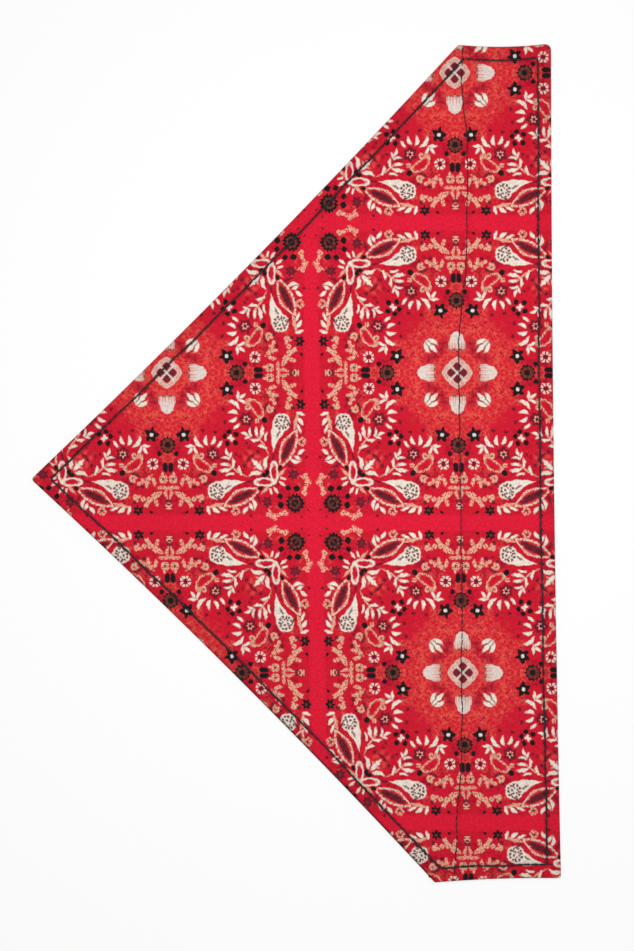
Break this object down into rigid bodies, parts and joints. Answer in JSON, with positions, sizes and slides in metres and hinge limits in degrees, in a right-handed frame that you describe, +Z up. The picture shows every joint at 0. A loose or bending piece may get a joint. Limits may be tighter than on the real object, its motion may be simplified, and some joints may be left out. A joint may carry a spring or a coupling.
{
  "type": "dog bandana",
  "caption": "Over-the-collar dog bandana: double-layer printed cotton triangle with cut-off corners, edge topstitching and a stitched collar channel along its long edge.",
  "frame": {"origin": "under the middle of the bandana's bounding box, on the surface that it lies on", "axes": "+Z up out of the front panel, +Y along the long edge with the collar channel, which is on the +X side; the hanging point is at -X"},
  "size_m": [0.243, 0.3854, 0.0026],
  "materials": {
    "printed_cotton": "matte plain-weave cotton, red with a cream, black and orange paisley and flower print",
    "thread": "near-black spun sewing thread"
  },
  "bodies": {
    "root": {"back_panel": "printed_cotton", "front_panel": "printed_cotton"}
  },
  "joints": []
}
